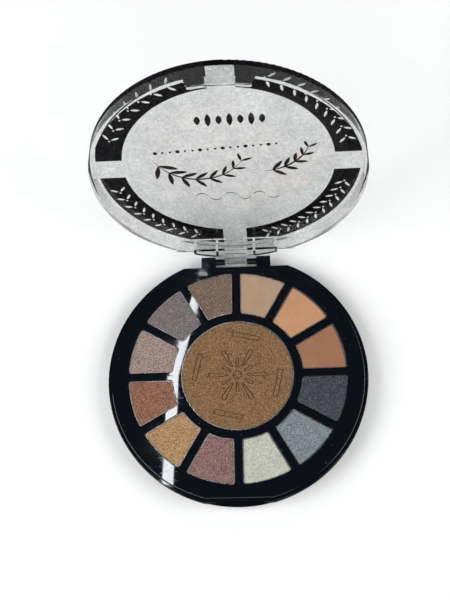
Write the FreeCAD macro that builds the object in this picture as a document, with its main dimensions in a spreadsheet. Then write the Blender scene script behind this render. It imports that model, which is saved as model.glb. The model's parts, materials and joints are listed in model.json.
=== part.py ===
import FreeCAD, Part
import Sketcher
import math
import os

# Round eyeshadow palette: a black case bottom with a tray of thirteen pans, and a clear lid on a pin hinge.
# Frame: origin at the centre of the case's bottom face, +Z up, +Y towards the hinge, +X to the right.
# The lid is modelled closed and then swung open about the hinge pin by its Placement.

Vector = FreeCAD.Vector
UP = Vector(0, 0, 1)

DIMENSIONS = [
    # the case bottom
    ("base_radius", 60.0),
    ("foot_inset", 1.7),
    ("foot_taper", 5.0),
    ("foot_bevel", 0.7),
    ("deck_height", 9.5),
    ("rim_drop", 1.15),
    ("rim_width", 1.5),
    ("rear_flat", 54.5),
    ("rear_rim", 2.05),
    ("front_flat", 57.9),
    ("front_rim", 1.4),
    ("front_ledge", 3.8),
    ("seat_drop", 2.4),
    ("seat_width", 1.7),
    ("rear_seat", 0.85),
    ("floor_thick", 1.5),
    ("rib_radius", 28.1),
    ("rib_thick", 1.2),
    ("edge_round", 0.3),
    # the ridge that the lid's catch snaps under
    ("ridge_half", 3.6),
    ("ridge_reach", 0.6),
    ("ridge_base", 6.1),
    ("ridge_tall", 0.8),
    # the hinge
    ("hinge_y", 58.7),
    ("hinge_z", 4.66),
    ("lug_radius", 2.5),
    ("lug_inner", 9.9),
    ("lug_outer", 16.7),
    ("neck_radius", 1.45),
    ("neck_inner", 5.4),
    ("pin_radius", 0.6),
    ("pin_play", 0.05),
    ("pin_recess", 0.2),
    ("pin_chamfer", 0.15),
    # the pan tray
    ("tray_gap", 0.05),
    ("deck_thick", 1.4),
    ("deck_round", 0.45),
    ("well_depth", 3.4),
    ("well_wall", 0.9),
    ("well_floor", 0.8),
    ("well_lip", 0.25),
    ("well_corner", 1.1),
    ("wedge_count", 12),
    ("ring_outer", 50.45),
    ("ring_inner", 30.05),
    ("spoke_width", 3.85),
    ("centre_radius", 26.1),
    # the pans and the pressed powders
    ("pan_gap", 0.1),
    ("pan_wall", 0.3),
    ("pan_tall", 2.9),
    ("powder_drop", 0.1),
    ("powder_round", 0.2),
    ("glue_thick", 0.15),
    ("glue_radius", 3.0),
    ("glue_ring", 41.0),
    # the outline pattern pressed into the centre powder
    ("groove_width", 0.4),
    ("groove_depth", 0.45),
    ("eye_radius", 2.1),
    ("petal_count", 6),
    ("petal_near", 5.0),
    ("petal_far", 12.4),
    ("petal_near_radius", 0.55),
    ("petal_far_radius", 1.2),
    ("bud_near", 4.1),
    ("bud_far", 7.3),
    ("bud_near_radius", 0.5),
    ("bud_far_radius", 0.95),
    ("bar_count", 4),
    ("bar_place", 19.1),
    ("bar_half", 6.7),
    ("bar_width", 1.25),
    ("bar_turn", 13.0),
    # the lid
    ("open_angle", 101.2),
    ("lid_radius", 61.0),
    ("lid_wall", 1.7),
    ("lid_tall", 8.8),
    ("lid_edge_drop", 1.0),
    ("plate_thick", 2.6),
    ("lid_round", 0.8),
    ("rear_wall", 1.8),
    ("apron_radius", 60.3),
    ("apron_wall", 1.4),
    ("apron_half", 20.3),
    ("arm_half", 9.6),
    ("arm_wall", 1.2),
    ("arm_clear", 1.6),
    ("arm_inset", 0.05),
    ("barrel_half", 5.1),
    ("barrel_radius", 2.4),
    ("barrel_web", 1.2),
    # the latch tab on the lid
    ("tab_half", 14.0),
    ("tab_draft", 1.5),
    ("tab_drop", 4.4),
    ("tab_corner", 0.9),
    ("tab_clear", 0.35),
    ("catch_half", 6.2),
    ("catch_thick", 0.5),
    ("catch_bar", 0.18),
    ("catch_bar_tall", 0.8),
    ("catch_bar_drop", 2.8),
    ("bite", 0.4),
    # the print on the lid
    ("ink_lift", 0.01),
    ("ink_thick", 0.05),
    ("band_outer", 58.6),
    ("band_inner", 47.0),
    ("cross_width", 11.3),
    ("leaf_ring", 53.3),
    ("leaf_long", 3.9),
    ("leaf_wide", 1.15),
    ("leaf_tilt", 38.0),
    ("leaf_pair_gap", 0.54),
    ("berry_radius", 0.45),
    # the ornament in the middle of the lid, seen closed and from above
    ("stem_wide", 0.9),
    ("sprig_turn", 42.0),
    ("sprig_shrink", 0.45),
    ("long_stem_x", -33.0),
    ("long_stem_y", -5.0),
    ("long_bend_x", -14.0),
    ("long_bend_y", 9.0),
    ("long_tip_x", 6.5),
    ("long_tip_y", -4.0),
    ("long_pairs", 8),
    ("long_leaf", 9.5),
    ("long_leaf_wide", 2.4),
    ("short_stem_x", 15.5),
    ("short_stem_y", 5.0),
    ("short_bend_x", 26.0),
    ("short_bend_y", 2.0),
    ("short_tip_x", 35.5),
    ("short_tip_y", -11.0),
    ("short_pairs", 5),
    ("short_leaf", 8.0),
    ("short_leaf_wide", 2.2),
    ("lozenge_count", 7),
    ("lozenge_left", -11.5),
    ("lozenge_step", 4.55),
    ("lozenge_row", -28.5),
    ("lozenge_long", 7.4),
    ("lozenge_short", 5.2),
    ("lozenge_wide", 2.6),
    ("dot_count", 17),
    ("dot_left", -31.5),
    ("dot_step", 3.3),
    ("dot_row", -11.2),
    ("dot_slope", 0.06),
    ("dot_large", 0.95),
    ("dot_small", 0.55),
    ("wave_count", 6),
    ("wave_left", -16.5),
    ("wave_step", 6.6),
    ("wave_long", 6.0),
    ("wave_row", 21.6),
    ("wave_lift", 2.4),
    ("wave_wide", 0.4),
]

doc = FreeCAD.newDocument("palette")
sheet = doc.addObject("Spreadsheet::Sheet", "Dims")
for row, (alias, number) in enumerate(DIMENSIONS, start=1):
    sheet.set(f"A{row}", alias)
    sheet.set(f"B{row}", str(number))
    sheet.setAlias(f"B{row}", alias)
doc.recompute()


class Size:
    """A size with its number in millimetres or degrees, and the sheet expression that gives it."""

    def __init__(self, number, text):
        self.number = float(number)
        self.text = text

    def __add__(self, other):
        other = as_size(other)
        return Size(self.number + other.number, f"({self.text} + {other.text})")

    def __sub__(self, other):
        other = as_size(other)
        return Size(self.number - other.number, f"({self.text} - {other.text})")

    def __mul__(self, other):
        other = as_size(other)
        return Size(self.number * other.number, f"({self.text} * {other.text})")

    def __truediv__(self, other):
        other = as_size(other)
        return Size(self.number / other.number, f"({self.text} / {other.text})")

    def __neg__(self):
        return Size(-self.number, f"(-1 * {self.text})")


def as_size(value):
    return value if isinstance(value, Size) else Size(value, repr(float(value)))


def dim(alias):
    return Size(sheet.get(alias), f"Dims.{alias}")


def root(size):
    return Size(math.sqrt(size.number), f"sqrt({size.text})")


def sine(size):
    return Size(math.sin(math.radians(size.number)), f"sin({size.text})")


def cosine(size):
    return Size(math.cos(math.radians(size.number)), f"cos({size.text})")


def leg(long_side, short_side):
    """The other short side of a right triangle."""
    return root(long_side * long_side - short_side * short_side)


# ---------------------------------------------------------------- sketching

ZERO = as_size(0)
AXIS = -1
START, END, MIDDLE = 1, 2, 3


def new_body(label):
    body = doc.addObject("PartDesign::Body", label)
    body.Label = label
    return body


def origin_feature(body, role):
    return next(item for item in body.Origin.OriginFeatures if item.Role == role)


def new_sketch(body, name, plane="XY_Plane", offset=ZERO, turn=ZERO):
    """A sketch on one of the body's planes, moved along the plane's normal and turned about it."""
    sketch = body.newObject("Sketcher::SketchObject", f"{body.Name}_{name}")
    sketch.AttachmentSupport = (origin_feature(body, plane), [""])
    sketch.MapMode = "FlatFace"
    sketch.AttachmentOffset = FreeCAD.Placement(Vector(), FreeCAD.Rotation(UP, turn.number))
    sketch.setExpression("AttachmentOffset.Base.z", offset.text)
    return sketch


def constrain(sketch, kind, *where, size=None):
    """Adds one constraint; a size binds it to the sheet."""
    values = [] if size is None else [size.number]
    index = sketch.addConstraint(Sketcher.Constraint(kind, *where, *values))
    if size is not None:
        sketch.setExpression(f"Constraints[{index}]", size.text)


def place_point(sketch, point, x, y):
    constrain(sketch, "DistanceX", *point, size=x)
    if y is not None:
        constrain(sketch, "DistanceY", *point, size=y)


def outline(sketch, corners, arcs=None):
    """Closed outline through the corners. arcs turns an edge into an arc about the origin: 1 ccw, -1 cw."""
    arcs = arcs or {}
    count = len(corners)
    tails, heads = [], []
    for edge, (start, end) in enumerate(zip(corners, corners[1:] + corners[:1])):
        tail = Vector(start[0].number, start[1].number, 0)
        head = Vector(end[0].number, end[1].number, 0)
        way = arcs.get(edge, 0)
        first, last = (head, tail) if way < 0 else (tail, head)
        if way:
            turn_from = math.atan2(first.y, first.x)
            turn_to = math.atan2(last.y, last.x)
            circle = Part.Circle(Vector(), UP, first.Length)
            turn_to += 2 * math.pi if turn_to < turn_from else 0
            geometry = sketch.addGeometry(Part.ArcOfCircle(circle, turn_from, turn_to))
            constrain(sketch, "Coincident", geometry, MIDDLE, AXIS, START)
        else:
            geometry = sketch.addGeometry(Part.LineSegment(first, last))
        tails.append((geometry, END if way < 0 else START))
        heads.append((geometry, START if way < 0 else END))
    for edge in range(count):
        constrain(sketch, "Coincident", *heads[edge], *tails[(edge + 1) % count])
        after_arc = (edge - 1) % count in arcs
        x, y = corners[edge]
        place_point(sketch, tails[edge], x, None if after_arc else y)


def circle(sketch, radius, x=ZERO, y=ZERO):
    centre = Vector(x.number, y.number, 0)
    geometry = sketch.addGeometry(Part.Circle(centre, UP, radius.number))
    constrain(sketch, "Radius", geometry, size=radius)
    place_point(sketch, (geometry, MIDDLE), x, y)


def rectangle(sketch, left, right, low, high):
    outline(sketch, [(left, low), (right, low), (right, high), (left, high)])


def case_outline(sketch, radius, rear, front):
    """A circle with a flat at the rear and a shorter one at the front."""
    rear_half = leg(radius, rear)
    front_half = leg(radius, front)
    corners = [(rear_half, rear), (-rear_half, rear), (-front_half, -front), (front_half, -front)]
    outline(sketch, corners, {1: 1, 3: 1})


def sector_outline(sketch, outer, inner, half_angle, gap):
    """A ring sector about +Y whose straight sides stay parallel to the gap beside them."""

    def corner(radius, side):
        along = leg(radius, gap)
        x = sine(half_angle) * along - cosine(half_angle) * gap
        y = cosine(half_angle) * along + sine(half_angle) * gap
        return (x * side, y)

    corners = [corner(outer, 1), corner(outer, -1), corner(inner, -1), corner(inner, 1)]
    outline(sketch, corners, {0: 1, 2: -1})


# ---------------------------------------------------------------- features

def extrude(body, kind, sketch, length, reverse=False, both_ways=False):
    feature = body.newObject(f"PartDesign::{kind}", f"{sketch.Name}_{kind.lower()}")
    feature.Profile = sketch
    feature.setExpression("Length", length.text)
    feature.Reversed = reverse
    if both_ways:
        feature.SideType = "Symmetric"
    doc.recompute()
    return feature


def pad(body, sketch, length, **ways):
    return extrude(body, "Pad", sketch, length, **ways)


def pocket(body, sketch, length, **ways):
    before = body.Shape.Volume
    feature = extrude(body, "Pocket", sketch, length, **ways)
    if body.Shape.Volume > before - 1e-6:
        raise RuntimeError(f"{feature.Name} cuts nothing")
    return feature


def repeat(body, features, count):
    """Repeats features evenly round the Z axis."""
    pattern = body.newObject("PartDesign::PolarPattern", f"{features[0].Name}_pattern")
    pattern.Originals = features
    pattern.Axis = (origin_feature(body, "Z_Axis"), [""])
    pattern.Angle = 360
    pattern.setExpression("Occurrences", as_size(count).text)
    body.Tip = pattern
    doc.recompute()
    return pattern


def mirror(body, features):
    """Repeats features on the other side of the YZ plane."""
    copy = body.newObject("PartDesign::Mirrored", f"{features[0].Name}_mirror")
    copy.Originals = features
    copy.MirrorPlane = (origin_feature(body, "YZ_Plane"), [""])
    body.Tip = copy
    doc.recompute()
    return copy


def dress(body, kind, name, size, wanted):
    """Fillets or chamfers every edge of the body's tip that the test wants."""
    doc.recompute()
    tip = body.Tip
    edges = [f"Edge{i}" for i, edge in enumerate(tip.Shape.Edges, start=1) if wanted(edge)]
    if not edges:
        raise RuntimeError(f"{body.Name} {name} finds no edge")
    feature = body.newObject(f"PartDesign::{kind}", f"{body.Name}_{name}")
    feature.Base = (tip, edges)
    feature.setExpression("Radius" if kind == "Fillet" else "Size", size.text)
    doc.recompute()
    return feature


def is_level(edge, height):
    box = edge.BoundBox
    return abs(box.ZMin - height.number) < 1e-4 and abs(box.ZMax - height.number) < 1e-4


def is_upright(edge, length):
    box = edge.BoundBox
    return abs(box.ZLength - length.number) < 1e-4 and max(box.XLength, box.YLength) < 1e-4


def reach(edge):
    """How far the edge's middle lies from the Z axis."""
    middle = edge.valueAt((edge.FirstParameter + edge.LastParameter) / 2)
    return math.hypot(middle.x, middle.y)


def swing_open(body):
    """Turns a closed lid piece about the hinge pin to where it stands open."""
    turn = dim("open_angle")
    hinge_y, hinge_z = dim("hinge_y"), dim("hinge_z")
    body.Placement = FreeCAD.Placement(Vector(), FreeCAD.Rotation(Vector(-1, 0, 0), turn.number))
    shift_y = hinge_y - cosine(turn) * hinge_y - sine(turn) * hinge_z
    shift_z = hinge_z + sine(turn) * hinge_y - cosine(turn) * hinge_z
    body.setExpression("Placement.Rotation.Angle", turn.text)
    body.setExpression("Placement.Base.y", shift_y.text)
    body.setExpression("Placement.Base.z", shift_z.text)


# ---------------------------------------------------------------- heights that several pieces share

rim_top = dim("deck_height") - dim("rim_drop")
seat = dim("deck_height") - dim("seat_drop")
well_bottom = dim("deck_height") - dim("well_depth")
pan_bottom = well_bottom + dim("glue_thick")
lid_edge = dim("deck_height") - dim("lid_edge_drop")
lid_top = lid_edge + dim("lid_tall")
lid_hollow = dim("lid_tall") - dim("plate_thick")
tray_rear = dim("rear_flat") - dim("rear_rim")
tray_front = dim("front_flat") - dim("front_rim")
tray_radius = dim("base_radius") - dim("rim_width")
half_wedge = as_size(180) / dim("wedge_count")
SPARE = as_size(5)  # how far a cut runs on past the piece


def make_base_shell():
    body = new_body("base_shell")

    profile = new_sketch(body, "profile", "XZ_Plane")
    radius = dim("base_radius")
    outline(profile, [
        (ZERO, ZERO),
        (radius - dim("foot_inset") - dim("foot_bevel"), ZERO),
        (radius - dim("foot_inset"), dim("foot_bevel")),
        (radius, dim("foot_taper")),
        (radius, rim_top),
        (ZERO, rim_top),
    ])
    block = body.newObject("PartDesign::Revolution", "base_shell_block")
    block.Profile = profile
    block.ReferenceAxis = (origin_feature(body, "Z_Axis"), [""])
    block.Angle = 360
    doc.recompute()

    flat = new_sketch(body, "rear_flat", "XY_Plane")
    rectangle(flat, -radius, radius, dim("rear_flat"), radius + SPARE)
    pocket(body, flat, rim_top + SPARE, reverse=True)
    dress(body, "Fillet", "rim_round", dim("edge_round"), lambda edge: is_level(edge, rim_top))

    recess = new_sketch(body, "latch_recess", "XY_Plane", dim("front_ledge"))
    rectangle(recess, -radius, radius, -radius - SPARE, -dim("front_flat"))
    pocket(body, recess, rim_top, reverse=True)

    mouth = new_sketch(body, "mouth", "XY_Plane", rim_top)
    case_outline(mouth, tray_radius, tray_rear, tray_front)
    pocket(body, mouth, rim_top - seat)

    hollow = new_sketch(body, "hollow", "XY_Plane", seat)
    case_outline(
        hollow,
        tray_radius - dim("seat_width"),
        tray_rear - dim("rear_seat"),
        tray_front - dim("seat_width"),
    )
    pocket(body, hollow, seat - dim("floor_thick"))

    rib = new_sketch(body, "rib", "XY_Plane", dim("floor_thick"))
    circle(rib, dim("rib_radius"))
    circle(rib, dim("rib_radius") - dim("rib_thick"))
    pad(body, rib, well_bottom - dim("well_floor") - dim("floor_thick"))

    lug = new_sketch(body, "lug", "YZ_Plane", dim("lug_inner"))
    lug_outline(lug, dim("lug_radius"), dim("rear_flat") - dim("rear_rim") + dim("edge_round"))
    lug_pad = pad(body, lug, dim("lug_outer") - dim("lug_inner"))
    neck = new_sketch(body, "neck", "YZ_Plane", dim("neck_inner"))
    circle(neck, dim("neck_radius"), dim("hinge_y"), dim("hinge_z"))
    neck_pad = pad(body, neck, dim("lug_inner") - dim("neck_inner") + dim("edge_round"))
    mirror(body, [lug_pad, neck_pad])

    bore = new_sketch(body, "pin_bore", "YZ_Plane")
    circle(bore, dim("pin_radius"), dim("hinge_y"), dim("hinge_z"))
    pocket(body, bore, dim("lug_outer") * 2 + SPARE, both_ways=True)

    ridge = new_sketch(body, "catch_ridge", "XZ_Plane", dim("front_flat") - dim("edge_round"))
    ridge_top = dim("ridge_base") + dim("ridge_tall")
    rectangle(ridge, -dim("ridge_half"), dim("ridge_half"), dim("ridge_base"), ridge_top)
    pad(body, ridge, dim("ridge_reach") + dim("edge_round"))

    return body


def lug_outline(sketch, radius, root_y):
    """A lug's side view: round about the pin, square where it joins the rear wall."""
    hinge_y, hinge_z = dim("hinge_y"), dim("hinge_z")
    centre = Vector(hinge_y.number, hinge_z.number, 0)
    half_turn = Part.ArcOfCircle(Part.Circle(centre, UP, radius.number), -math.pi / 2, math.pi / 2)
    nose = sketch.addGeometry(half_turn)
    top = sketch.addGeometry(Part.LineSegment(
        Vector(centre.x, centre.y + radius.number, 0), Vector(root_y.number, centre.y + radius.number, 0)))
    back = sketch.addGeometry(Part.LineSegment(
        Vector(root_y.number, centre.y + radius.number, 0), Vector(root_y.number, centre.y - radius.number, 0)))
    bottom = sketch.addGeometry(Part.LineSegment(
        Vector(root_y.number, centre.y - radius.number, 0), Vector(centre.x, centre.y - radius.number, 0)))
    constrain(sketch, "Coincident", top, END, back, START)
    constrain(sketch, "Coincident", back, END, bottom, START)
    constrain(sketch, "Tangent", nose, END, top, START)
    constrain(sketch, "Tangent", bottom, END, nose, START)
    constrain(sketch, "Horizontal", top)
    constrain(sketch, "Horizontal", bottom)
    constrain(sketch, "Vertical", back)
    constrain(sketch, "Radius", nose, size=radius)
    place_point(sketch, (nose, MIDDLE), hinge_y, hinge_z)
    constrain(sketch, "DistanceX", back, START, size=root_y)


def make_pan_tray():
    body = new_body("pan_tray")
    deck = new_sketch(body, "deck", "XY_Plane", dim("deck_height"))
    gap = dim("tray_gap")
    case_outline(deck, tray_radius - gap, tray_rear - gap, tray_front - gap)
    pad(body, deck, dim("deck_thick"), reverse=True)

    deck_bottom = dim("deck_height") - dim("deck_thick")
    skirt_depth = deck_bottom - seat
    skirt = new_sketch(body, "skirt", "XY_Plane", deck_bottom)
    case_outline(skirt, tray_radius - gap, tray_rear - gap, tray_front - gap)
    inset = dim("rear_seat")
    case_outline(skirt, tray_radius - inset, tray_rear - inset, tray_front - inset)
    pad(body, skirt, skirt_depth, reverse=True)

    wall = dim("well_wall")
    cup_depth = dim("well_depth") + dim("well_floor") - dim("deck_thick")
    cup = new_sketch(body, "wedge_cup", "XY_Plane", deck_bottom, half_wedge)
    sector_outline(
        cup, dim("ring_outer") + wall, dim("ring_inner") - wall, half_wedge, dim("spoke_width") / 2 - wall)
    cup_pad = pad(body, cup, cup_depth, reverse=True)
    repeat(body, [cup_pad], dim("wedge_count"))
    centre_cup = new_sketch(body, "centre_cup", "XY_Plane", deck_bottom)
    circle(centre_cup, dim("centre_radius") + wall)
    pad(body, centre_cup, cup_depth, reverse=True)

    well = new_sketch(body, "wedge_well", "XY_Plane", dim("deck_height"), half_wedge)
    sector_outline(well, dim("ring_outer"), dim("ring_inner"), half_wedge, dim("spoke_width") / 2)
    well_pocket = pocket(body, well, dim("well_depth"))
    repeat(body, [well_pocket], dim("wedge_count"))
    centre_well = new_sketch(body, "centre_well", "XY_Plane", dim("deck_height"))
    circle(centre_well, dim("centre_radius"))
    pocket(body, centre_well, dim("well_depth"))

    between = (dim("centre_radius").number + dim("ring_inner").number) / 2
    beyond = dim("ring_outer").number + wall.number / 2
    dress(body, "Fillet", "well_corners", dim("well_corner"), lambda edge: (
        is_upright(edge, dim("well_depth")) and reach(edge) > between))
    dress(body, "Fillet", "well_lips", dim("well_lip"), lambda edge: (
        is_level(edge, dim("deck_height")) and reach(edge) < beyond and not on_deck_outline(edge)))
    dress(body, "Fillet", "deck_round", dim("deck_round"), lambda edge: (
        is_level(edge, dim("deck_height")) and on_deck_outline(edge)))
    return body


def on_deck_outline(edge):
    middle = edge.valueAt((edge.FirstParameter + edge.LastParameter) / 2)
    box = edge.BoundBox
    gap = dim("tray_gap").number
    on_round = abs(math.hypot(middle.x, middle.y) - tray_radius.number + gap) < 1e-3
    on_rear = abs(middle.y - tray_rear.number + gap) < 1e-3 and box.YLength < 1e-3
    on_front = abs(middle.y + tray_front.number - gap) < 1e-3 and box.YLength < 1e-3
    return on_round or on_rear or on_front


def inset_sector(sketch, inset):
    """The wedge well's outline, drawn in by an inset."""
    sector_outline(
        sketch,
        dim("ring_outer") - inset,
        dim("ring_inner") + inset,
        half_wedge,
        dim("spoke_width") / 2 + inset,
    )


def turn_to_place(body, number):
    """Turns a wedge made about +Y to its place; number 1 is just right of the rear spoke, then clockwise."""
    angle = half_wedge * -(2 * number - 1)
    body.Placement = FreeCAD.Placement(Vector(), FreeCAD.Rotation(UP, angle.number))
    body.setExpression("Placement.Rotation.Axis.z", "1")
    body.setExpression("Placement.Rotation.Angle", angle.text)


def make_wedge_pan(number):
    body = new_body(f"pan_{number:02d}")
    rim = pan_bottom + dim("pan_tall")
    inner_depth = dim("pan_tall") - dim("pan_wall")
    outside = new_sketch(body, "outside", "XY_Plane", pan_bottom)
    inset_sector(outside, dim("pan_gap"))
    pad(body, outside, dim("pan_tall"))
    inside = new_sketch(body, "inside", "XY_Plane", rim)
    inset_sector(inside, dim("pan_gap") + dim("pan_wall"))
    pocket(body, inside, inner_depth)
    corner = dim("well_corner") - dim("pan_gap")
    dress(body, "Fillet", "outer_corners", corner, lambda edge: is_upright(edge, dim("pan_tall")))
    dress(body, "Fillet", "inner_corners", corner - dim("pan_wall"), lambda edge: is_upright(edge, inner_depth))
    turn_to_place(body, number)
    return body


def make_wedge_powder(number):
    body = new_body(f"powder_{number:02d}")
    depth = dim("pan_tall") - dim("pan_wall") - dim("powder_drop")
    cake = new_sketch(body, "cake", "XY_Plane", pan_bottom + dim("pan_wall"))
    inset_sector(cake, dim("pan_gap") + dim("pan_wall"))
    pad(body, cake, depth)
    corner = dim("well_corner") - dim("pan_gap") - dim("pan_wall")
    dress(body, "Fillet", "corners", corner, lambda edge: is_upright(edge, depth))
    top = pan_bottom + dim("pan_tall") - dim("powder_drop")
    dress(body, "Fillet", "top_round", dim("powder_round"), lambda edge: is_level(edge, top))
    turn_to_place(body, number)
    return body


def make_centre_pan():
    body = new_body("centre_pan")
    radius = dim("centre_radius") - dim("pan_gap")
    outside = new_sketch(body, "outside", "XY_Plane", pan_bottom)
    circle(outside, radius)
    pad(body, outside, dim("pan_tall"))
    inside = new_sketch(body, "inside", "XY_Plane", pan_bottom + dim("pan_tall"))
    circle(inside, radius - dim("pan_wall"))
    pocket(body, inside, dim("pan_tall") - dim("pan_wall"))
    return body


def make_centre_powder():
    """The centre cake, with a rosette and four bars pressed into it as thin outlines."""
    body = new_body("centre_powder")
    top = pan_bottom + dim("pan_tall") - dim("powder_drop")
    cake = new_sketch(body, "cake", "XY_Plane", pan_bottom + dim("pan_wall"))
    circle(cake, dim("centre_radius") - dim("pan_gap") - dim("pan_wall"))
    pad(body, cake, dim("pan_tall") - dim("pan_wall") - dim("powder_drop"))
    dress(body, "Fillet", "top_round", dim("powder_round"), lambda edge: is_level(edge, top))

    groove = dim("groove_width")
    eye = new_sketch(body, "eye", "XY_Plane", top)
    circle(eye, dim("eye_radius"))
    circle(eye, dim("eye_radius") - groove)
    pocket(body, eye, dim("groove_depth"))

    petal = new_sketch(body, "petal", "XY_Plane", top)
    petal_ends = (dim("petal_near"), dim("petal_far"), dim("petal_near_radius"), dim("petal_far_radius"))
    club_outline(petal, *petal_ends, ZERO)
    club_outline(petal, *petal_ends, groove)
    repeat(body, [pocket(body, petal, dim("groove_depth"))], dim("petal_count"))

    bud = new_sketch(body, "bud", "XY_Plane", top, as_size(180) / dim("petal_count"))
    bud_ends = (dim("bud_near"), dim("bud_far"), dim("bud_near_radius"), dim("bud_far_radius"))
    club_outline(bud, *bud_ends, ZERO)
    club_outline(bud, *bud_ends, groove)
    repeat(body, [pocket(body, bud, dim("groove_depth"))], dim("petal_count"))

    bar = new_sketch(body, "bar", "XY_Plane", top, -dim("bar_turn"))
    bar_outline(bar, ZERO)
    bar_outline(bar, groove)
    repeat(body, [pocket(body, bar, dim("groove_depth"))], dim("bar_count"))
    return body


def club_outline(sketch, near, far, near_radius, far_radius, inset):
    """A petal lying along X: a small round end, a larger one, and the two lines that touch both."""
    ends = []
    radii = (far_radius - inset, near_radius - inset)
    lean = math.acos((radii[0].number - radii[1].number) / (far.number - near.number))
    turns = ((-lean, lean), (lean, 2 * math.pi - lean))
    for place, radius, (turn_from, turn_to) in zip((far, near), radii, turns):
        arc = Part.ArcOfCircle(Part.Circle(Vector(place.number, 0, 0), UP, radius.number), turn_from, turn_to)
        ends.append(sketch.addGeometry(arc))
        constrain(sketch, "Radius", ends[-1], size=radius)
        place_point(sketch, (ends[-1], MIDDLE), place, ZERO)
    for first, second in (ends, reversed(ends)):
        side = Part.LineSegment(sketch.getPoint(first, END), sketch.getPoint(second, START))
        line = sketch.addGeometry(side)
        constrain(sketch, "Tangent", first, END, line, START)
        constrain(sketch, "Tangent", line, END, second, START)


def bar_outline(sketch, inset):
    half_long = dim("bar_half") - inset
    half_wide = dim("bar_width") - inset
    place = dim("bar_place")
    rectangle(sketch, -half_long, half_long, place - half_wide, place + half_wide)


def make_glue_dots():
    """One round spot of glue under each pan."""
    spots = []
    for number in range(0, int(dim("wedge_count").number) + 1):
        spot = doc.addObject("Part::Cylinder", f"glue_spot_{number:02d}")
        radius = dim("glue_radius") * (2 if number == 0 else 1)
        spot.setExpression("Radius", radius.text)
        spot.setExpression("Height", dim("glue_thick").text)
        spot.setExpression("Placement.Base.z", well_bottom.text)
        if number:
            turn = half_wedge * (2 * number - 1)
            spot.setExpression("Placement.Base.x", (dim("glue_ring") * sine(turn)).text)
            spot.setExpression("Placement.Base.y", (dim("glue_ring") * cosine(turn)).text)
        spots.append(spot)
    dots = doc.addObject("Part::Compound", "glue_dots")
    dots.Label = "glue_dots"
    dots.Links = spots
    return dots


def make_hinge_pin():
    body = new_body("hinge_pin")
    section = new_sketch(body, "section", "YZ_Plane")
    circle(section, dim("pin_radius"), dim("hinge_y"), dim("hinge_z"))
    pad(body, section, (dim("lug_outer") - dim("pin_recess")) * 2, both_ways=True)
    dress(body, "Chamfer", "ends", dim("pin_chamfer"), lambda edge: (
        edge.BoundBox.XLength < 1e-4 and edge.BoundBox.YLength > dim("pin_radius").number))
    return body


def make_lid_shell():
    """The clear lid in one moulding, drawn closed: plate, skirt, rear wall, apron, knuckle and latch tab."""
    body = new_body("lid_shell")
    radius = dim("lid_radius")
    inner = radius - dim("lid_wall")
    rear = dim("rear_flat")

    disc = new_sketch(body, "disc", "XY_Plane", lid_edge)
    circle(disc, radius)
    pad(body, disc, dim("lid_tall"))

    hollow = new_sketch(body, "hollow", "XY_Plane", lid_edge)
    chord = rear - dim("rear_wall")
    half = leg(inner, chord)
    outline(hollow, [(half, chord), (-half, chord)], {1: 1})
    pocket(body, hollow, lid_hollow, reverse=True)

    clear_rear = new_sketch(body, "clear_rear", "XY_Plane", lid_edge)
    side, far, out = dim("apron_half"), leg(dim("apron_radius"), dim("apron_half")), radius + SPARE
    edge_x = leg(out, rear)
    outline(clear_rear, [
        (side, rear), (edge_x, rear), (edge_x, out), (-edge_x, out), (-edge_x, rear),
        (-side, rear), (-side, far), (side, far),
    ], {6: -1})
    pocket(body, clear_rear, lid_hollow, reverse=True)

    chambers = new_sketch(body, "chambers", "XY_Plane", lid_edge)
    wall = dim("apron_wall")
    back = dim("apron_radius") - wall
    arm_inner = dim("arm_half") - dim("arm_wall")
    chamber_outline(chambers, dim("arm_half"), side - wall, rear, back)
    chamber_outline(chambers, -arm_inner, arm_inner, rear, back)
    chamber_outline(chambers, wall - side, -dim("arm_half"), rear, back)
    pocket(body, chambers, lid_hollow, reverse=True)

    outer_face = back + wall - dim("arm_inset")
    arms = new_sketch(body, "arms", "YZ_Plane")
    arm_end = dim("hinge_z") + dim("arm_clear")
    rectangle(arms, back, outer_face, arm_end, lid_edge + dim("bite"))
    pad(body, arms, dim("arm_half") * 2, both_ways=True)

    web = new_sketch(body, "knuckle_web", "YZ_Plane")
    web_front = dim("hinge_y") - dim("barrel_web")
    rectangle(web, web_front, outer_face, dim("hinge_z"), lid_edge + dim("bite"))
    pad(body, web, dim("barrel_half") * 2, both_ways=True)
    barrel = new_sketch(body, "barrel", "YZ_Plane")
    circle(barrel, dim("barrel_radius"), dim("hinge_y"), dim("hinge_z"))
    pad(body, barrel, dim("barrel_half") * 2, both_ways=True)
    bore = new_sketch(body, "barrel_bore", "YZ_Plane")
    circle(bore, dim("pin_radius") + dim("pin_play"), dim("hinge_y"), dim("hinge_z"))
    pocket(body, bore, dim("barrel_half") * 2 + SPARE, both_ways=True)

    add_latch_tab(body, radius, inner)
    dress(body, "Fillet", "top_round", dim("lid_round"), lambda edge: (
        is_level(edge, lid_top) and reach(edge) > inner.number))
    swing_open(body)
    return body


def chamber_outline(sketch, left, right, low, radius):
    """A space between the rear wall and the curved apron."""
    corners = [(left, low), (right, low), (right, leg(radius, right)), (left, leg(radius, left))]
    outline(sketch, corners, {2: 1})


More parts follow.
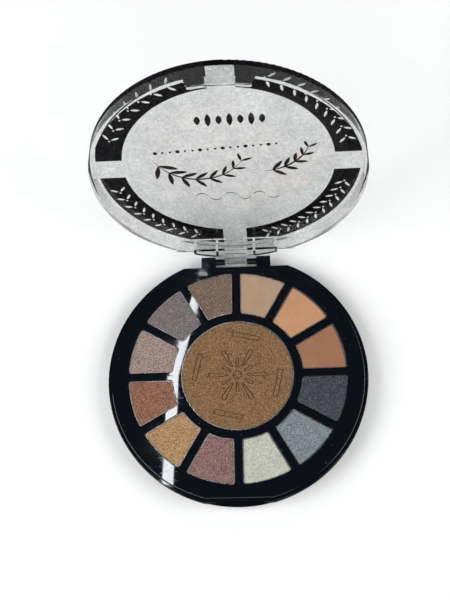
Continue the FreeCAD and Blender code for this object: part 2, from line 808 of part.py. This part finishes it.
def add_latch_tab(body, outer, inner):
    half, draft, drop = dim("tab_half"), dim("tab_draft"), dim("tab_drop")
    face = dim("front_flat") + dim("tab_clear")
    bend = leg(inner, face)
    tab = new_sketch(body, "tab", "XY_Plane", lid_edge)
    outline(tab, [
        (half, -face), (bend, -face), (-bend, -face), (-half, -face),
        (-half, -leg(outer, half)), (half, -leg(outer, half)),
    ], {1: -1, 4: 1})
    pad(body, tab, drop, reverse=True)

    beyond = half + SPARE
    tip = lid_edge - drop
    sides = new_sketch(body, "tab_sides", "XZ_Plane", dim("front_flat"))
    outline(sides, [(half, lid_edge), (half - draft, tip), (beyond, tip), (beyond, lid_edge)])
    outline(sides, [(-half, lid_edge), (draft - half, tip), (-beyond, tip), (-beyond, lid_edge)])
    pocket(body, sides, SPARE, reverse=True)
    dress(body, "Fillet", "tab_corners", dim("tab_corner"), lambda edge: (
        is_level(edge, tip) and edge.BoundBox.XLength < 1e-4))

    block = new_sketch(body, "catch_block", "XZ_Plane", inner - dim("catch_thick"))
    block_low = lid_edge - dim("catch_bar_drop") - dim("catch_bar_tall")
    rectangle(block, -dim("catch_half"), dim("catch_half"), block_low, lid_edge + dim("bite"))
    pad(body, block, dim("catch_thick") + dim("bite"))
    bar = new_sketch(body, "catch_bar", "XZ_Plane", inner - dim("catch_thick") - dim("catch_bar"))
    rectangle(bar, -dim("catch_half"), dim("catch_half"), block_low, block_low + dim("catch_bar_tall"))
    pad(body, bar, dim("catch_bar") + dim("bite"))


def make_print_band(label, quarter, leaf_count, first_leaf, last_leaf):
    """A quarter band of ink with a laurel row left clear. Angles are counted from +X towards +Y."""
    body = new_body(label)
    ink_bottom = lid_top + dim("ink_lift")
    band = new_sketch(body, "band", "XY_Plane", ink_bottom, as_size(quarter - 90))
    sector_outline(band, dim("band_outer"), dim("band_inner"), as_size(45), dim("cross_width") / 2)
    pad(body, band, dim("ink_thick"))
    row = new_sketch(body, "laurel", "XY_Plane", ink_bottom)
    for index in range(leaf_count):
        turn = first_leaf + (last_leaf - first_leaf) * index / (leaf_count - 1)
        laurel_pair(row, turn)
    pocket(body, row, dim("ink_thick"), reverse=True)
    swing_open(body)
    return body


def leaf_outline(sketch, tip, angle, long, wide):
    """A pointed leaf from its tip back along an angle: two equal arcs."""
    along = Vector(math.cos(math.radians(angle)), math.sin(math.radians(angle)), 0)
    across = Vector(-along.y, along.x, 0)
    heel = tip + along * long
    middle = tip + along * (long / 2)
    for side in (1, -1):
        bulge = middle + across * (side * wide / 2)
        sketch.addGeometry(Part.Arc(tip, bulge, heel) if side > 0 else Part.Arc(heel, bulge, tip))


def laurel_pair(sketch, turn):
    """Two leaves and a berry on the laurel ring, at one angle round the lid."""
    out = Vector(math.cos(math.radians(turn)), math.sin(math.radians(turn)), 0)
    place = out * dim("leaf_ring").number
    for side in (1, -1):
        tip = place + out * (side * dim("leaf_pair_gap").number)
        leaf_outline(sketch, tip, turn + 90 - side * (90 - dim("leaf_tilt").number),
                     dim("leaf_long").number, dim("leaf_wide").number)
    berry = place - Vector(-out.y, out.x, 0) * dim("berry_radius").number * 2
    sketch.addGeometry(Part.Circle(berry, UP, dim("berry_radius").number))


def on_lid(x, y):
    """A point on the closed lid's top, at the underside of the ink."""
    return Vector(x, y, lid_top.number + dim("ink_lift").number)


def flat_leaf(tip, angle, long, wide):
    """A leaf as a flat level face."""
    along = Vector(math.cos(math.radians(angle)), math.sin(math.radians(angle)), 0)
    across = Vector(-along.y, along.x, 0)
    heel = tip + along * long
    middle = tip + along * (long / 2)
    left = Part.Arc(tip, middle + across * (wide / 2), heel).toShape()
    right = Part.Arc(heel, middle - across * (wide / 2), tip).toShape()
    return Part.Face(Part.Wire([left, right]))


def flat_stroke(start, bulge, end, thick):
    """A curved stroke, full in the middle and fine at both ends."""
    across = (end - start).cross(UP).normalize() * (thick / 2)
    left = Part.Arc(start, bulge + across, end).toShape()
    right = Part.Arc(end, bulge - across, start).toShape()
    return Part.Face(Part.Wire([left, right]))


def flat_dot(x, y, radius):
    return Part.Face(Part.Wire([Part.Circle(on_lid(x, y), UP, radius).toShape()]))


def lid_point(name):
    """A point of the ornament by the name of its two aliases."""
    return on_lid(dim(f"{name}_x").number, dim(f"{name}_y").number)


def sprig(name):
    """A curved stem with pairs of leaves that shrink towards its end."""
    start, bulge, end = (lid_point(f"{name}_{part}") for part in ("stem", "bend", "tip"))
    pairs = int(dim(f"{name}_pairs").number)
    stem_arc = Part.Arc(start, bulge, end)
    faces = [flat_stroke(start, bulge, end, dim("stem_wide").number)]
    low, high = stem_arc.FirstParameter, stem_arc.LastParameter
    for index in range(pairs):
        share = (index + 0.7) / pairs
        parameter = low + (high - low) * share
        place = stem_arc.value(parameter)
        ahead = stem_arc.tangent(parameter)[0]
        heading = math.degrees(math.atan2(ahead.y, ahead.x))
        size = 1.0 - dim("sprig_shrink").number * share
        for turn in (dim("sprig_turn").number, -dim("sprig_turn").number):
            long, wide = dim(f"{name}_leaf").number, dim(f"{name}_leaf_wide").number
            faces.append(flat_leaf(place, heading + turn, long * size, wide * size))
    return faces


def lozenge_row():
    faces = []
    for index in range(int(dim("lozenge_count").number)):
        x = dim("lozenge_left").number + dim("lozenge_step").number * index
        long = dim("lozenge_long" if index % 2 else "lozenge_short").number
        tip = on_lid(x, dim("lozenge_row").number - long / 2)
        faces.append(flat_leaf(tip, 90, long, dim("lozenge_wide").number))
    return faces


def dot_row():
    faces = []
    for index in range(int(dim("dot_count").number)):
        x = dim("dot_left").number + dim("dot_step").number * index
        y = dim("dot_row").number - dim("dot_slope").number * x
        faces.append(flat_dot(x, y, dim("dot_small" if index % 3 else "dot_large").number))
    return faces


def wave_row():
    faces = []
    long, row = dim("wave_long").number, dim("wave_row").number
    for index in range(int(dim("wave_count").number)):
        x = dim("wave_left").number + dim("wave_step").number * index
        lift = dim("wave_lift").number * (1 if index % 2 else -1)
        bulge = on_lid(x + long / 2, row + lift)
        faces.append(flat_stroke(on_lid(x, row), bulge, on_lid(x + long, row), dim("wave_wide").number))
    return faces


def make_print_centre():
    """Thin black ornament in the middle of the lid: two sprigs, a row of lozenges and two fine rows."""
    faces = sprig("long") + sprig("short") + lozenge_row() + dot_row() + wave_row()
    flat = faces[0].multiFuse(faces[1:]).removeSplitter()
    solids = flat.extrude(UP * dim("ink_thick").number)
    piece = doc.addObject("Part::Feature", "lid_print_centre")
    piece.Label = "lid_print_centre"
    piece.Shape = solids
    swing_open(piece)
    return piece


def check_document():
    doc.recompute()
    for item in doc.Objects:
        if "Invalid" in item.State or "Error" in item.State:
            raise RuntimeError(f"{item.Name} failed: {item.State}")


def write_parts(pieces):
    os.makedirs("parts", exist_ok=True)
    for piece in pieces:
        shape = piece.Shape
        if shape.isNull() or not shape.isValid() or not shape.Solids:
            raise RuntimeError(f"{piece.Label} has no valid solid")
        shape.exportStep(f"parts/{piece.Label}.step")
        print(f"{piece.Label}: {len(shape.Solids)} solid(s), {shape.Volume:.2f} mm3")


pieces = [make_base_shell(), make_pan_tray(), make_centre_pan(), make_centre_powder()]
for number in range(1, int(dim("wedge_count").number) + 1):
    pieces.append(make_wedge_pan(number))
    pieces.append(make_wedge_powder(number))
pieces.append(make_glue_dots())
pieces.append(make_hinge_pin())
pieces.append(make_lid_shell())
pieces.append(make_print_band("lid_print_front_left", 225, 7, 201, 246))
pieces.append(make_print_band("lid_print_front_right", 315, 9, 290, 344))
pieces.append(make_print_band("lid_print_rear_left", 135, 9, 110, 163))
pieces.append(make_print_band("lid_print_rear_right", 45, 11, 16, 72))
pieces.append(make_print_centre())
check_document()
write_parts(pieces)
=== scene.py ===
import json
import math

import bmesh
import bpy
from mathutils import Matrix, Vector


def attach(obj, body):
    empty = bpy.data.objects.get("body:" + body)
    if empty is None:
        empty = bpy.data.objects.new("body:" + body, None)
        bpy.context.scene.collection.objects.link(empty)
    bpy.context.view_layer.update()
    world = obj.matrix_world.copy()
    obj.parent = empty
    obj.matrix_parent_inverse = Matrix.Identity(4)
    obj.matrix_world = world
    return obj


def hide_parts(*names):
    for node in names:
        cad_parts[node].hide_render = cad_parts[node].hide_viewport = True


# Round eyeshadow palette with a clear hinged lid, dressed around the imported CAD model.
# Metres, +Z up, the hinge towards +Y, the lid open.

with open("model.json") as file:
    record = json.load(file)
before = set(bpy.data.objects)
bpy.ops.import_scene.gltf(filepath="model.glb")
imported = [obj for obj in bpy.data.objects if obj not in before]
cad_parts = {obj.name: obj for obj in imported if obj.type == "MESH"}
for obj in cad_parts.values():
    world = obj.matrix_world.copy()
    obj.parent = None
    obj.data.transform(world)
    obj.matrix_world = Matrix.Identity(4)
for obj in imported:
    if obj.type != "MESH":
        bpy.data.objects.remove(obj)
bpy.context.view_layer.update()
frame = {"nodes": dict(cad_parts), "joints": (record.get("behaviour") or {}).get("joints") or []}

MM = 0.001
LID_OPEN = math.radians(-frame["joints"][0]["range_deg"][0])
LID_OUTWARD = Vector((0, math.sin(LID_OPEN), math.cos(LID_OPEN)))
INK_BITE = 0.04 * MM


# ---------------------------------------------------------------- building shaders

def add(tree, kind, **sockets):
    """A node whose inputs are set, or linked where the value is another node's output."""
    node = tree.nodes.new(f"ShaderNode{kind}")
    for name, value in sockets.items():
        plug(tree, node.inputs[name.replace("_", " ")], value)
    return node


def plug(tree, socket, value):
    """Links a socket to another node's output, or sets it to a plain value."""
    if isinstance(value, bpy.types.NodeSocket):
        tree.links.new(value, socket)
    else:
        socket.default_value = value


def maths(tree, operation, *values):
    node = tree.nodes.new("ShaderNodeMath")
    node.operation = operation
    for socket, value in zip(node.inputs, values):
        plug(tree, socket, value)
    return node.outputs[0]


def times(tree, first, second):
    return maths(tree, "MULTIPLY", first, second)


def spread(tree, value, low, high, to_low=0.0, to_high=1.0):
    """Maps low..high onto to_low..to_high, held at both ends."""
    node = add(tree, "MapRange", Value=value, From_Min=low, From_Max=high, To_Min=to_low, To_Max=to_high)
    return node.outputs["Result"]


def blend(tree, factor, first, second, way="MIX"):
    """From the first colour to the second. In the Mix node, colours are sockets 6 and 7."""
    node = tree.nodes.new("ShaderNodeMix")
    node.data_type = "RGBA"
    node.blend_type = way
    plug(tree, node.inputs[0], factor)
    plug(tree, node.inputs[6], first)
    plug(tree, node.inputs[7], second)
    return node.outputs[2]


def noise(tree, place, per_metre, detail=2.0, rough=0.5, warp=0.0):
    node = add(tree, "TexNoise", Vector=place, Scale=per_metre, Detail=detail)
    plug(tree, node.inputs["Roughness"], rough)
    plug(tree, node.inputs["Distortion"], warp)
    return node.outputs[0]


def cells(tree, place, per_metre):
    """Random cells: the distance to each cell's middle, and a random number for each cell."""
    node = add(tree, "TexVoronoi", Vector=place, Scale=per_metre)
    split = add(tree, "SeparateColor", Color=node.outputs["Color"])
    return node.outputs["Distance"], split.outputs[0]


def place_in(tree, turn=(0, 0, 0), stretch=(1, 1, 1)):
    """Places on the object, turned by degrees and stretched for patterns that run one way."""
    coordinates = tree.nodes.new("ShaderNodeTexCoord").outputs["Object"]
    mapping = add(tree, "Mapping", Vector=coordinates, Scale=stretch)
    mapping.inputs["Rotation"].default_value = [math.radians(angle) for angle in turn]
    return mapping.outputs[0]


def effect(name, inputs, outputs):
    """An empty shader node group with named sockets."""
    tree = bpy.data.node_groups.new(name, "ShaderNodeTree")
    for label, kind, value in inputs:
        socket = tree.interface.new_socket(label, in_out="INPUT", socket_type=f"NodeSocket{kind}")
        socket.default_value = value
    for label, kind in outputs:
        tree.interface.new_socket(label, in_out="OUTPUT", socket_type=f"NodeSocket{kind}")
    return tree, tree.nodes.new("NodeGroupInput").outputs, tree.nodes.new("NodeGroupOutput").inputs


def use(tree, group, **sockets):
    """A shared effect placed in a material, with this material's values."""
    node = tree.nodes.new("ShaderNodeGroup")
    node.node_tree = group
    for name, value in sockets.items():
        plug(tree, node.inputs[name], value)
    return node.outputs


def new_material(name, **settings):
    """A material with one Principled shader, and its plain settings."""
    material = bpy.data.materials.new(name)
    material.use_nodes = True
    tree = material.node_tree
    shader = tree.nodes["Principled BSDF"]
    for label, value in settings.items():
        shader.inputs[label.replace("_", " ")].default_value = value
    return material, tree, shader


def finish(tree, shader, colour, roughness, height, depth):
    """Plugs a material's colour, roughness and bump into its shader."""
    plug(tree, shader.inputs["Base Color"], colour)
    plug(tree, shader.inputs["Roughness"], roughness)
    relief = add(tree, "Bump", Height=height, Distance=depth, Strength=1.0)
    plug(tree, shader.inputs["Normal"], relief.outputs[0])


# ---------------------------------------------------------------- effects that several materials share

# Each run of hair scratches: its angle in degrees, and how far its lines are drawn out.
SCRATCH_RUNS = ((25, 30), (-50, 22), (80, 36))


def make_handling():
    """Moulded plastic that has been held: soft smears, hair scratches, dust and a slightly wavy skin."""
    tree, given, out = effect(
        "handled plastic",
        [("Roughness", "Float", 0.06), ("Smears", "Float", 0.05), ("Dust", "Float", 0.5)],
        [("Roughness", "Float"), ("Dust", "Float"), ("Height", "Float")],
    )
    place = place_in(tree)
    smear = spread(tree, noise(tree, place, 45, detail=3, rough=0.55, warp=0.8), 0.48, 0.75)

    scratches = 0.0
    for angle, drawn_out in SCRATCH_RUNS:
        along = place_in(tree, (0, 0, angle), (1, drawn_out, 1))
        line = spread(tree, noise(tree, along, 90, rough=0.6), 0.66, 0.74)
        scratches = maths(tree, "MAXIMUM", scratches, line)

    distance, pick = cells(tree, place, 620)
    speck = maths(tree, "LESS_THAN", distance, times(tree, pick, 0.16))
    rare = maths(tree, "GREATER_THAN", noise(tree, place, 210, detail=1), 0.58)
    dust = times(tree, times(tree, speck, rare), given["Dust"])

    rough = maths(tree, "MULTIPLY_ADD", smear, given["Smears"], given["Roughness"])
    rough = maths(tree, "MULTIPLY_ADD", scratches, 0.05, rough)
    rough = maths(tree, "MULTIPLY_ADD", dust, 0.5, rough)
    wave = noise(tree, place, 38, detail=1)
    plug(tree, out["Roughness"], rough)
    plug(tree, out["Dust"], dust)
    plug(tree, out["Height"], maths(tree, "MULTIPLY_ADD", scratches, -0.02, wave))
    return tree


def make_pressed_powder():
    """Pressed powder: fine grain, uneven pressing, and mica flakes that catch the light."""
    tree, given, out = effect(
        "pressed powder",
        [
            ("Colour", "Color", (0.5, 0.4, 0.3, 1)),
            ("Glint", "Color", (1, 1, 1, 1)),
            ("Flakes", "Float", 0.5),
            ("Contrast", "Float", 0.2),
        ],
        [("Colour", "Color"), ("Roughness", "Float"), ("Metallic", "Float"), ("Height", "Float")],
    )
    place = place_in(tree)
    grain = noise(tree, place, 3000, rough=0.6)
    clump = noise(tree, place, 1800, rough=0.6)
    cloud = noise(tree, place, 150)
    strength, cloud_strength, darkest = given["Contrast"], 0.3, 0.12
    tone = 1.0
    for pattern, contrast in ((grain, strength), (clump, strength), (cloud, cloud_strength)):
        tone = maths(tree, "MULTIPLY_ADD", maths(tree, "SUBTRACT", pattern, 0.5), contrast, tone)
    tone = maths(tree, "MAXIMUM", tone, darkest)
    shaded = blend(tree, 1.0, given["Colour"], tone, "MULTIPLY")

    distance, pick = cells(tree, place, 1500)
    flake = times(tree, spread(tree, pick, 0.55, 1.0), spread(tree, distance, 0.55, 0.25))
    flake = times(tree, flake, given["Flakes"])
    plug(tree, out["Colour"], blend(tree, flake, shaded, given["Glint"]))
    plug(tree, out["Roughness"], maths(tree, "MULTIPLY_ADD", given["Flakes"], -0.45, 0.9))
    plug(tree, out["Metallic"], times(tree, flake, 0.6))
    plug(tree, out["Height"], maths(tree, "MULTIPLY_ADD", pick, given["Flakes"], grain))
    return tree


HANDLING = make_handling()
PRESSED_POWDER = make_pressed_powder()


# ---------------------------------------------------------------- materials

BLACK_STYRENE = (0.0030, 0.0045, 0.0068, 1)
CASE_DUST = (0.22, 0.24, 0.26, 1)
TRAY_DUST = (0.24, 0.21, 0.19, 1)  # a little powder is in it


def gloss_black(name, roughness, dust_colour, dust):
    material, tree, shader = new_material(name, IOR=1.5)
    worn = use(tree, HANDLING, Roughness=roughness, Smears=0.05, Dust=dust)
    colour = blend(tree, worn["Dust"], BLACK_STYRENE, dust_colour)
    finish(tree, shader, colour, worn["Roughness"], worn["Height"], 0.012 * MM)
    return material


def tin_plate():
    """Stamped pan: grey metal with a fine drawn grain and dull patches."""
    material, tree, shader = new_material("tin_plate", Metallic=1.0)
    grain = noise(tree, place_in(tree, (0, 0, 20), (1, 14, 1)), 420, detail=3, rough=0.6)
    stain = spread(tree, noise(tree, place_in(tree), 120), 0.4, 0.7)
    colour = blend(tree, stain, (0.52, 0.51, 0.50, 1), (0.38, 0.37, 0.35, 1))
    finish(tree, shader, colour, spread(tree, grain, 0.3, 0.7, 0.2, 0.38), grain, 0.01 * MM)
    return material


def powder(name, colour, glint, flakes, contrast):
    material, tree, shader = new_material(name)
    cake = use(tree, PRESSED_POWDER, Colour=colour, Glint=glint, Flakes=flakes, Contrast=contrast)
    plug(tree, shader.inputs["Metallic"], cake["Metallic"])
    finish(tree, shader, cake["Colour"], cake["Roughness"], cake["Height"], 0.05 * MM)
    return material


def clear_lid():
    """Clear styrene tinted with painted shade: a mottled grey that stands in for shaded cloth seen through
    the lid; light and bounced rays pass straight through it.
    """
    material, tree, shader = new_material("clear_styrene", IOR=1.5, Transmission_Weight=1.0)
    worn = use(tree, HANDLING, Roughness=0.0, Smears=0.02, Dust=0.2)
    place = place_in(tree)
    fibre = noise(tree, place, 760, detail=3, rough=0.6, warp=1.0)
    cloud = noise(tree, place, 130)
    mottle = maths(tree, "MULTIPLY_ADD", cloud, 0.25, times(tree, fibre, 0.75))
    # Painted shade: the fibrous grey mottle darkens what is seen through the lid, in place of a shaded
    # cloth backdrop, not a haze in the plastic.
    painted_backdrop_shade = blend(tree, spread(tree, mottle, 0.38, 0.62), (0.58, 0.595, 0.595, 1), (0.90, 0.90, 0.88, 1))
    finish(tree, shader, painted_backdrop_shade, worn["Roughness"], worn["Height"], 0.006 * MM)

    rays = tree.nodes.new("ShaderNodeLightPath").outputs
    through = add(tree, "BsdfTransparent", Color=(0.88, 0.89, 0.89, 1)).outputs[0]
    surface = shader.outputs[0]
    for kind in ("Is Shadow Ray", "Is Diffuse Ray"):
        mix = tree.nodes.new("ShaderNodeMixShader")
        for socket, value in zip(mix.inputs, (rays[kind], surface, through)):
            plug(tree, socket, value)
        surface = mix.outputs[0]
    plug(tree, tree.nodes["Material Output"].inputs["Surface"], surface)
    return material


def printed_ink():
    """Screen print: solid black with the mesh's fine weave and a few thin spots."""
    material, tree, shader = new_material("screen_print_black", Specular_IOR_Level=0.12)
    film = noise(tree, place_in(tree), 700, detail=3, rough=0.6)
    thin = spread(tree, film, 0.4, 0.75)
    colour = blend(tree, thin, (0.002, 0.002, 0.003, 1), (0.008, 0.008, 0.009, 1))
    finish(tree, shader, colour, spread(tree, film, 0.3, 0.7, 0.18, 0.34), film, 0.005 * MM)
    return material


def pin_steel():
    """Drawn wire, with fine rings from cutting."""
    material, tree, shader = new_material("drawn_steel", Metallic=1.0)
    grain = noise(tree, place_in(tree, (0, 0, 0), (0.2, 3, 3)), 900, detail=3, rough=0.6)
    colour = blend(tree, spread(tree, grain, 0.35, 0.65), (0.46, 0.46, 0.47, 1), (0.66, 0.66, 0.67, 1))
    finish(tree, shader, colour, spread(tree, grain, 0.3, 0.7, 0.22, 0.42), grain, 0.01 * MM)
    return material


def glue():
    """Clouded hot-melt glue."""
    material, tree, shader = new_material("hot_melt_glue", IOR=1.48, Subsurface_Weight=0.3)
    shader.inputs["Subsurface Radius"].default_value = (2.0 * MM, 1.5 * MM, 1.0 * MM)
    cloud = noise(tree, place_in(tree), 500, detail=3, rough=0.6)
    colour = blend(tree, cloud, (0.78, 0.70, 0.50, 1), (0.88, 0.84, 0.70, 1))
    finish(tree, shader, colour, spread(tree, cloud, 0.3, 0.7, 0.3, 0.5), cloud, 0.05 * MM)
    return material


POWDER_TONE = 0.80  # how bright a cake's own colour is beside the screen colour wanted, under these lamps
# Each shade: its screen colour, its flakes' screen colour, how much flake it has, how strong its grain is.
SHADES = {
    "centre_powder": ((127, 92, 56), (206, 166, 116), 0.50, 3.9),
    "powder_01": ((177, 146, 119), (214, 190, 165), 0.04, 0.5),
    "powder_02": ((198, 146, 106), (232, 190, 150), 0.03, 0.5),
    "powder_03": ((160, 111, 79), (200, 150, 120), 0.03, 0.4),
    "powder_04": ((46, 54, 63), (150, 160, 178), 0.50, 4.4),
    "powder_05": ((116, 127, 133), (214, 222, 232), 0.50, 2.9),
    "powder_06": ((191, 193, 178), (244, 244, 232), 0.45, 1.7),
    "powder_07": ((131, 97, 91), (206, 172, 166), 0.50, 3.5),
    "powder_08": ((169, 130, 88), (238, 200, 148), 0.50, 3.0),
    "powder_09": ((136, 90, 67), (216, 158, 128), 0.50, 4.0),
    "powder_10": ((152, 130, 119), (222, 202, 186), 0.50, 3.1),
    "powder_11": ((116, 105, 104), (182, 168, 166), 0.45, 3.2),
    "powder_12": ((114, 93, 76), (184, 160, 138), 0.45, 3.2),
}


def linear(value):
    """Linear light for a screen value from 0 to 255."""
    share = value / 255
    return share / 12.92 if share <= 0.04045 else ((share + 0.055) / 1.055) ** 2.4


def cake_colour(screen_colour):
    return (*(linear(value) * POWDER_TONE for value in screen_colour), 1)


# ---------------------------------------------------------------- dressing the CAD model

def lay_print(node_name, ink):
    """The same film of ink, keyed a little way into the lid's outer face, so no air is left behind it."""
    shape = bmesh.new()
    shape.from_mesh(frame["nodes"][node_name].data)
    bmesh.ops.remove_doubles(shape, verts=shape.verts, dist=0.0001 * MM)
    bmesh.ops.translate(shape, verts=shape.verts, vec=-LID_OUTWARD * INK_BITE)
    mesh = bpy.data.meshes.new(node_name.replace("lid_print", "ink"))
    shape.to_mesh(mesh)
    shape.free()
    mesh.materials.append(ink)
    film = bpy.data.objects.new(mesh.name, mesh)
    bpy.context.scene.collection.objects.link(film)
    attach(film, "lid")
    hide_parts(node_name)


def give(node_name, material):
    """Puts a material in every slot of a CAD node."""
    for slot in frame["nodes"][node_name].material_slots:
        slot.material = material


def dress_frame():
    give("base_shell", gloss_black("case_gloss_black", 0.03, CASE_DUST, 0.3))
    give("pan_tray", gloss_black("tray_gloss_black", 0.015, TRAY_DUST, 0.35))
    give("lid_shell", clear_lid())
    give("hinge_pin", pin_steel())
    give("glue_dots", glue())
    tin = tin_plate()
    for cake, (colour, glint, flakes, contrast) in SHADES.items():
        give(cake, powder(f"shade_{cake}", cake_colour(colour), cake_colour(glint), flakes, contrast))
        pan = "centre_pan" if cake == "centre_powder" else cake.replace("powder", "pan")
        give(pan, tin)
    ink = printed_ink()
    for name in frame["nodes"]:
        if name.startswith("lid_print_"):
            lay_print(name, ink)


dress_frame()


# ---------------------------------------------------------------- the table and the light

LIT_POINT = (0, 0.02, 0.03)
# Each softbox: its place, its width and height, its power in watts, and whether gloss mirrors it.
SOFTBOXES = {
    "left_softbox": ((-0.95, -0.25, 0.75), (1.0, 1.0), 14.5, True),
    "right_softbox": ((1.0, -0.15, 0.7), (1.0, 1.0), 11.5, True),
    "front_softbox": ((0.1, -1.1, 0.8), (1.0, 0.8), 7.5, True),
    "rear_softbox": ((-0.1, 1.2, 0.55), (1.2, 0.6), 6, False),
}
# Narrow panes overhead, each a streak on the gloss black: its place, its lean in degrees, its size.
WINDOW_PANES = {
    "window_upper": ((-0.124, 0.390, 1.0), -14.8, (0.014, 0.186)),
    "window_lower": ((-0.152, 0.215, 1.0), -2.2, (0.017, 0.170)),
}
PANE_BRIGHTNESS = 22
PANE_COLOUR = (0.93, 0.98, 1.0)


def make_floor():
    half_side = 1.2
    mesh = bpy.data.meshes.new("table")
    shape = bmesh.new()
    bmesh.ops.create_grid(shape, x_segments=1, y_segments=1, size=half_side)
    shape.to_mesh(mesh)
    shape.free()
    floor = bpy.data.objects.new("table", mesh)
    bpy.context.scene.collection.objects.link(floor)
    material, tree, shader = new_material("pale_table", Roughness=0.8)
    grain = noise(tree, place_in(tree), 300)
    colour = blend(tree, grain, (0.85, 0.85, 0.85, 1), (0.88, 0.88, 0.88, 1))
    plug(tree, shader.inputs["Base Color"], colour)
    mesh.materials.append(material)
    floor.visible_glossy = False  # the gloss black mirrors a dark room, not the table


def area_light(name, matrix, size, power, colour=(1, 1, 1), mirrored=True):
    lamp = bpy.data.lights.new(name, "AREA")
    lamp.shape = "RECTANGLE"
    lamp.size, lamp.size_y = size
    lamp.energy = power
    lamp.color = colour
    light = bpy.data.objects.new(name, lamp)
    light.matrix_world = matrix
    light.visible_glossy = light.visible_transmission = mirrored
    bpy.context.scene.collection.objects.link(light)


def make_lights():
    for name, (place, size, power, mirrored) in SOFTBOXES.items():
        towards = Vector(LIT_POINT) - Vector(place)
        aimed = Matrix.Translation(place) @ towards.to_track_quat("-Z", "Y").to_matrix().to_4x4()
        area_light(name, aimed, size, power, mirrored=mirrored)
    for name, (place, lean, (width, height)) in WINDOW_PANES.items():
        level = Matrix.Translation(place) @ Matrix.Rotation(math.radians(lean), 4, "Z")
        power = PANE_BRIGHTNESS * math.pi * width * height
        area_light(name, level, (width, height), power, PANE_COLOUR)


def make_sky():
    """A studio that looks pale, while the gloss black mirrors dim walls and a dark ceiling."""
    world = bpy.data.worlds.new("studio")
    world.use_nodes = True
    bpy.context.scene.world = world
    tree = world.node_tree
    direction = tree.nodes.new("ShaderNodeTexCoord").outputs["Generated"]
    height = add(tree, "SeparateXYZ", Vector=direction).outputs["Z"]
    rays = tree.nodes.new("ShaderNodeLightPath").outputs
    seen = maths(tree, "MAXIMUM", rays["Is Camera Ray"], rays["Is Transmission Ray"])
    walls = blend(tree, seen, (0.07, 0.075, 0.08, 1), (0.86, 0.87, 0.88, 1))
    colour = blend(tree, spread(tree, height, 0.45, 0.8), walls, (0.010, 0.016, 0.024, 1))
    plug(tree, tree.nodes["Background"].inputs["Color"], colour)


def make_camera():
    """The eye stands over the front edge, a little to the right, looking down and back."""
    camera = bpy.data.objects.new("eye", bpy.data.cameras.new("eye"))
    camera.data.lens = 56.13
    camera.data.sensor_width = 36.0
    camera.data.clip_start = 0.01
    turn = Matrix.Rotation(math.radians(8.86), 4, "Z")
    tilt = Matrix.Rotation(math.radians(21.63), 4, "X")
    roll = Matrix.Rotation(math.radians(-10.16), 4, "Z")
    camera.matrix_world = Matrix.Translation((0.01993, -0.12487, 0.42258)) @ turn @ tilt @ roll
    bpy.context.scene.collection.objects.link(camera)
    bpy.context.scene.camera = camera


make_floor()
make_lights()
make_sky()
make_camera()
bpy.context.scene.view_settings.view_transform = "Standard"
